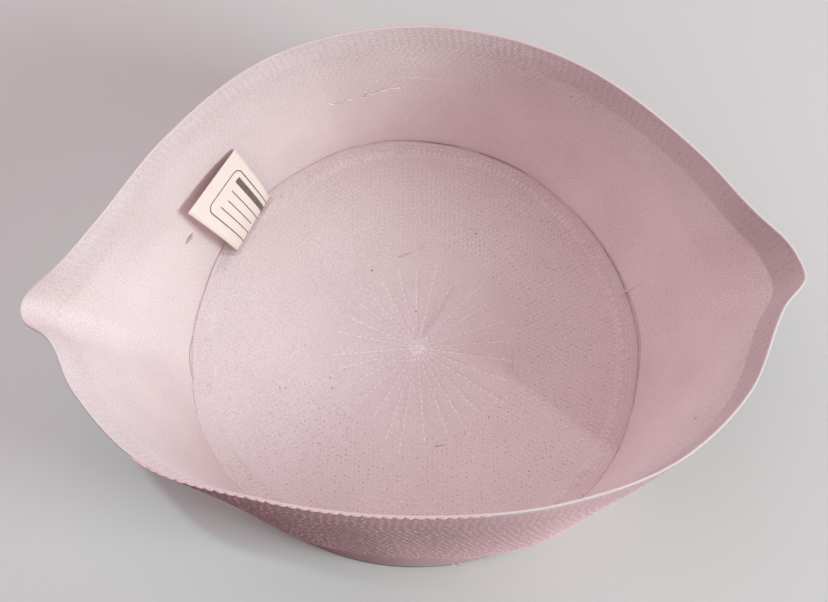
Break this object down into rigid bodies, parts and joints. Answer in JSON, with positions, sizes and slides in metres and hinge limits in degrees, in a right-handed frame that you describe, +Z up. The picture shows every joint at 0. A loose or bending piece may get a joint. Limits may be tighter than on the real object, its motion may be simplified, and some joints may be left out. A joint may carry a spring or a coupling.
{
  "type": "prayer cap",
  "caption": "Brimless cloth cap with a flat round stitched crown, a tall flared side band creased from flat storage, an overcast crown seam and a short label tape, lying open side up.",
  "frame": {"origin": "centre of the crown's outer face, which lies on the table", "axes": "+Z up through the opening, +X towards the right-hand crease, +Y towards the back"},
  "size_m": [0.2104, 0.1421, 0.0629],
  "materials": {
    "crown_cloth": "matt pale rose cotton, closely stitched",
    "band_cloth": "matt pale rose cotton, stitched in rows towards the rim",
    "overcast_edge": "matt cotton edge under overcast thread",
    "label_tape": "smooth cream satin tape"
  },
  "bodies": {
    "root": {"crown": "crown_cloth", "side_band": "band_cloth", "seam_allowance": "overcast_edge", "label": "label_tape"}
  },
  "joints": []
}
